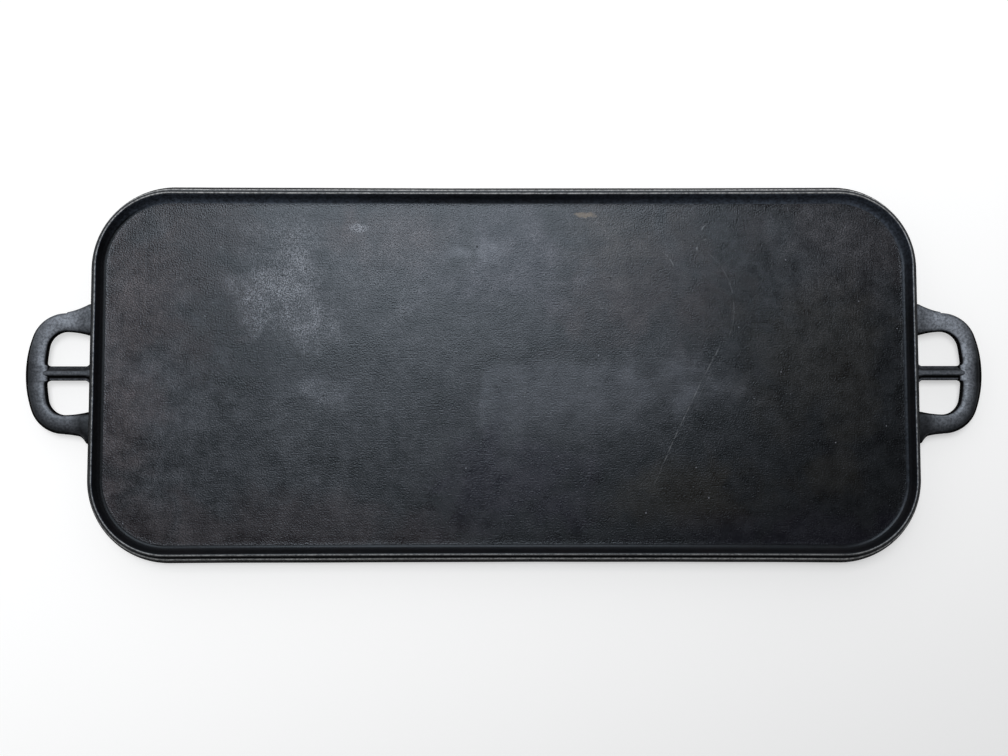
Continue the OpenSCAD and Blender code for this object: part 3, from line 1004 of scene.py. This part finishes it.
def seasoning(shader, place):
    """The plate's noises and marks, by name."""
    grain = shader.noise(place, *GRAIN_NOISE)
    to_right = shader.measure("DOT_PRODUCT", place, (1, 0, 0))
    marks = {
        "all": 1.0,
        "clouds": shader.spread(shader.noise(place, *CLOUD_NOISE)),
        "mottle": shader.spread(shader.noise(place, *MOTTLE_NOISE)),
        "grain": grain,
        "speckle": shader.spread(grain),
        "specks": shader.noise(place, *SPECK_NOISE),
        "ground": grinding_lines(shader, place),
        "ragged": shader.spread(shader.noise(place, *RAGGED_NOISE), RAGGED_SPREAD, 0),
        "left_edge": shader.ramp(to_right, *LEFT_EDGE),
        "band": wall_band(shader, place),
        "pitted": pits(shader, place),
    }
    marks["smooth"] = patches(shader, place, marks["ragged"], SMOOTH_PATCHES)
    grainy = patches(shader, place, marks["ragged"], GRAINY_PATCHES)
    marks["worn"] = shader.times(grainy, weighed(shader, marks, WORN_WEIGHTS))
    return marks


def dust_and_light_cover(shader, place, marks):
    """How much of the plate the thin dust covers, with painted light towards the far left and painted shade
    by the left wall.
    """
    # Painted light: the dust grows towards the far left, where the light falls
    facing = shader.measure("DOT_PRODUCT", place, DUST_AND_LIGHT_SIDE)
    level = shader.ramp(facing, *DUST_AND_LIGHT_RAMP, *DUST_AND_LIGHT_SHARES)
    patchy = shader.math("MAXIMUM", weighed(shader, marks, DUST_WEIGHTS), LEAST_DUST)
    # Painted shade: less dust next to the wall at the left end
    off_edge = shader.scaled_sum((1, 1), (marks["left_edge"], -LEFT_EDGE_SHADE))
    cleaned = shader.math("SUBTRACT", 1.0, patches(shader, place, marks["ragged"], CLEAN_PATCHES))
    return shader.times(level, shader.ramp(marks["specks"], *DUST_SPECKS), patchy, off_edge, cleaned)


def plate_colour(shader, place, marks):
    """The plate's colour, from its seasoning up to the marks that lie on it."""
    colour, dust_and_light = CARBON, GRAINS
    for listed, tint, dust_tint in TINTS:
        tinted = patches(shader, place, marks["ragged"], listed)
        colour = shader.mix(tinted, colour, tint)
        dust_and_light = shader.mix(tinted, dust_and_light, dust_tint)
    rubbed = rubbed_patch(shader, place, marks["ragged"])
    hazy = shader.math("MAXIMUM", patches(shader, place, marks["ragged"], HAZY_PATCHES), rubbed)
    pale_grains = shader.times(marks["worn"], shader.ramp(marks["specks"], *WORN_SPECKS))
    pale_spots = shader.times(spots(shader, place, *PALE_SPOTS), PALE_SPOT_STRENGTH)
    layers = (
        (shader.times(hazy, weighed(shader, marks, HAZE_WEIGHTS)), PALE),
        (dust_and_light_cover(shader, place, marks), dust_and_light),
        (pale_grains, WORN_GRAINS),
        (pale_spots, GRAINS),
        (scratches(shader, place), SCRATCHED),
        (marks["pitted"], BLACK),
        (residue(shader, place), TAN),
    )
    for cover, layer in layers:
        colour = shader.mix(cover, colour, layer)
    return colour


def cooking_surface():
    """The seasoned cooking surface."""
    shader = Shader(bpy.data.materials.new("cooking_surface"))
    place = shader.place()
    marks = seasoning(shader, place)
    return shader.finish(plate_colour(shader, place, marks), weighed(shader, marks, ROUGH_WEIGHTS),
                         weighed(shader, marks, HEIGHT_WEIGHTS), PLATE_BUMP, PLATE_SHINE)


# Noise of the as-cast iron: size in millimetres, detail and roughness
CAST_CLOUD_NOISE = (18, 4, 0.6)
CAST_MOTTLE_NOISE = (5, 4, 0.65)
CAST_GRAIN_NOISE = (1.4, 2, 0.6)
# Levels of the noise between which the cover, the brown tint and the roughness change
COVER_LEVELS = (0.33, 0.67)
CAST_LEVELS = (0.35, 0.65)
CAST_BROWN_SHARES = (0, 0.15)
# What each noise adds to the cover, the roughness and the height
COVER_WEIGHTS = {"mottle": 0.35, "grain": 0.65}
CAST_ROUGH_WEIGHTS = {"cloud": 0.5, "mottle": 0.5}
CAST_HEIGHT_WEIGHTS = {"grain": 0.7, "mottle": 0.9}


def cast_iron(name, depth, dark, worn, cover, rough, shine):
    """As-cast seasoned iron, pale where it is rubbed by wear and where highlights and sheen are painted,
    and rougher where its value is below zero.
    """
    shader = Shader(bpy.data.materials.new(name))
    place = shader.place()
    marks = {
        "cloud": shader.noise(place, *CAST_CLOUD_NOISE),
        "mottle": shader.noise(place, *CAST_MOTTLE_NOISE),
        "grain": shader.noise(place, *CAST_GRAIN_NOISE),
    }
    wear_and_sheen = shader.add("Attribute", {}, "Fac", attribute_name="wear_and_sheen")
    covered = shader.ramp(weighed(shader, marks, COVER_WEIGHTS), *COVER_LEVELS, *cover)
    colour = shader.mix(shader.ramp(marks["cloud"], *CAST_LEVELS, *CAST_BROWN_SHARES), dark, BROWN)
    colour = shader.mix(shader.times(wear_and_sheen, covered), colour, worn)
    roughness = shader.ramp(weighed(shader, marks, CAST_ROUGH_WEIGHTS), *CAST_LEVELS, *rough)
    roughness = shader.math("SUBTRACT", roughness, shader.math("MINIMUM", wear_and_sheen, 0.0))
    return shader.finish(colour, roughness, weighed(shader, marks, CAST_HEIGHT_WEIGHTS), depth, shine)


# Finishes of the cast pieces, in the order of their numbers: bump depth, dark and worn colours (the worn
# one also painted highlight and sheen), least and greatest cover of the worn one, least and greatest
# roughness, and shine
WALL_COVER = (0.25, 1)
HANDLE_COVER = (0.3, 0.9)
SOOTY_ROUGHNESS = (0.7, 0.85)
WALL_FINISHES = (
    ("cast_wall", 0.03, CARBON, BARE_AND_HIGHLIGHT, WALL_COVER, (0.36, 0.48), 0.4),
    ("cast_fillet", 0.06, CARBON, BLUISH_SHEEN, WALL_COVER, (0.27, 0.33), 0.22),
    ("cast_skirt", 0.10, SOOT, BARE_AND_HIGHLIGHT, WALL_COVER, SOOTY_ROUGHNESS, 0.0),
    ("cast_inner_wall", 0.08, CARBON, BLUISH_SHEEN, WALL_COVER, (0.4, 0.5), 0.08),
)
HANDLE_FINISHES = (
    ("cast_handle", 0.05, CARBON, RUBBED_AND_SHEEN, HANDLE_COVER, (0.28, 0.36), 0.35),
    ("cast_handle_side", 0.08, SOOT, RUBBED_AND_SHEEN, HANDLE_COVER, SOOTY_ROUGHNESS, 0.0),
)


def coat(pieces, finishes):
    """Give pieces their cast finishes."""
    irons = [cast_iron(*finish) for finish in finishes]
    for piece in pieces:
        for iron in irons:
            piece.data.materials.append(iron)


plate.data.materials.append(cooking_surface())
coat((rim, foot), WALL_FINISHES)
coat(handles, HANDLE_FINISHES)

# Floor, in metres
FLOOR_HALF = 6
FLOOR_COLOUR = (0.92, 0.925, 0.93, 1)
# What the eye sees of the floor is partly its own white, so that it stays pale round the shadow.
# It grows paler along a direction towards the lamp, a painted fall of light and shade, between two
# distances from the middle.
FLOOR_GLOW = (0.99, 0.995, 1, 1)
FLOOR_GLOW_SHARE = 0.35
FLOOR_PALE_SIDE = (-0.42, 0.91, 0)
FLOOR_RAMP = (-0.45, 0.1)
FLOOR_LEVELS = (0.86, 1.7)

# Light: the key lamp in metres and watts
KEY_PLACE = (-0.25, 1.03, 2.80)
KEY_SIZE = 1.6
KEY_POWER = 46
# The room is palest low down and beyond the far side, and dark overhead
ROOM_PALE_SIDE = (-0.1, 0.4, -0.85)
ROOM_RAMP = (-0.8, 0.45)
ROOM_LEVELS = (0.03, 2.0)
# Its walls are a little paler than its ceiling all round
WALL_RAMP = (0.75, 0.35)
WALL_LEVELS = (0, 0.35)

# The photograph's camera: place, turns in degrees, and focal length in pixels of a frame 1008 wide
CAMERA_PLACE = (-4.1, -38.3, 626.1)
CAMERA_TILT, CAMERA_PAN, CAMERA_ROLL = -3.28, 0.33, 0.03
FOCAL_PIXELS = 1085
FRAME_WIDTH = 1008
SENSOR_WIDTH = 36
NEAREST_SEEN = 10


def make_floor():
    """A pale floor that shows only from above."""
    mesh = bpy.data.meshes.new("floor")
    corners = [(x * FLOOR_HALF, y * FLOOR_HALF, 0) for x, y in ((-1, -1), (1, -1), (1, 1), (-1, 1))]
    mesh.from_pydata(corners, [], [(0, 1, 2, 3)])
    shader = Shader(bpy.data.materials.new("floor"))
    paint = shader.add("BsdfDiffuse", {"Color": FLOOR_COLOUR})
    here = shader.add("TexCoord", {}, "Object")
    # Painted light and shade: the glow grows towards the lamp's side
    facing = shader.measure("DOT_PRODUCT", here, FLOOR_PALE_SIDE)
    level = shader.ramp(facing, *FLOOR_RAMP, *FLOOR_LEVELS)
    glow = shader.add("Emission", {"Color": FLOOR_GLOW, "Strength": level})
    seen = 0.0
    for kind in ("Camera", "Glossy", "Transmission"):
        seen = shader.math("MAXIMUM", seen, shader.add("LightPath", {}, f"Is {kind} Ray"))
    lit = shader.add("MixShader", {0: shader.times(seen, FLOOR_GLOW_SHARE), 1: paint, 2: glow})
    clear = shader.add("BsdfTransparent", {})
    behind = shader.add("NewGeometry", {}, "Backfacing")
    shader.add("OutputMaterial", {"Surface": shader.add("MixShader", {0: behind, 1: lit, 2: clear})})
    mesh.materials.append(shader.owner)
    floor = bpy.data.objects.new("floor", mesh)
    bpy.context.scene.collection.objects.link(floor)


def make_key():
    """The key lamp: a square soft light that faces the origin."""
    data = bpy.data.lights.new("key", "AREA")
    data.size = KEY_SIZE
    data.energy = KEY_POWER
    lamp = bpy.data.objects.new("key", data)
    lamp.location = KEY_PLACE
    lamp.rotation_euler = (-Vector(KEY_PLACE)).to_track_quat("-Z", "Y").to_euler()
    bpy.context.scene.collection.objects.link(lamp)


def make_room():
    """The surroundings, which change smoothly from a pale side to a dark one."""
    shader = Shader(bpy.data.worlds.new("room"))
    way = shader.add("TexCoord", {}, "Generated")
    pale_side = shader.ramp(shader.measure("DOT_PRODUCT", way, ROOM_PALE_SIDE), *ROOM_RAMP, *ROOM_LEVELS)
    walls = shader.ramp(shader.measure("DOT_PRODUCT", way, (0, 0, 1)), *WALL_RAMP, *WALL_LEVELS)
    level = shader.math("MAXIMUM", pale_side, walls)
    shader.add("OutputWorld", {"Surface": shader.add("Background", {"Strength": level})})
    bpy.context.scene.world = shader.owner


def make_camera():
    """The photograph's camera."""
    data = bpy.data.cameras.new("camera")
    data.sensor_fit = "HORIZONTAL"
    data.sensor_width = SENSOR_WIDTH
    data.lens = SENSOR_WIDTH * FOCAL_PIXELS / FRAME_WIDTH
    data.clip_start = NEAREST_SEEN * MM
    camera = bpy.data.objects.new("camera", data)
    to_camera = Matrix.Identity(3)
    for axis, degrees in (("X", CAMERA_TILT), ("Y", CAMERA_PAN), ("Z", CAMERA_ROLL)):
        to_camera = Matrix.Rotation(math.radians(degrees), 3, axis) @ to_camera
    camera.matrix_world = Matrix.Translation(Vector(CAMERA_PLACE) * MM) @ to_camera.transposed().to_4x4()
    bpy.context.scene.collection.objects.link(camera)
    bpy.context.scene.camera = camera


make_floor()
make_key()
make_room()
bpy.context.scene.view_settings.view_transform = "Standard"
make_camera()
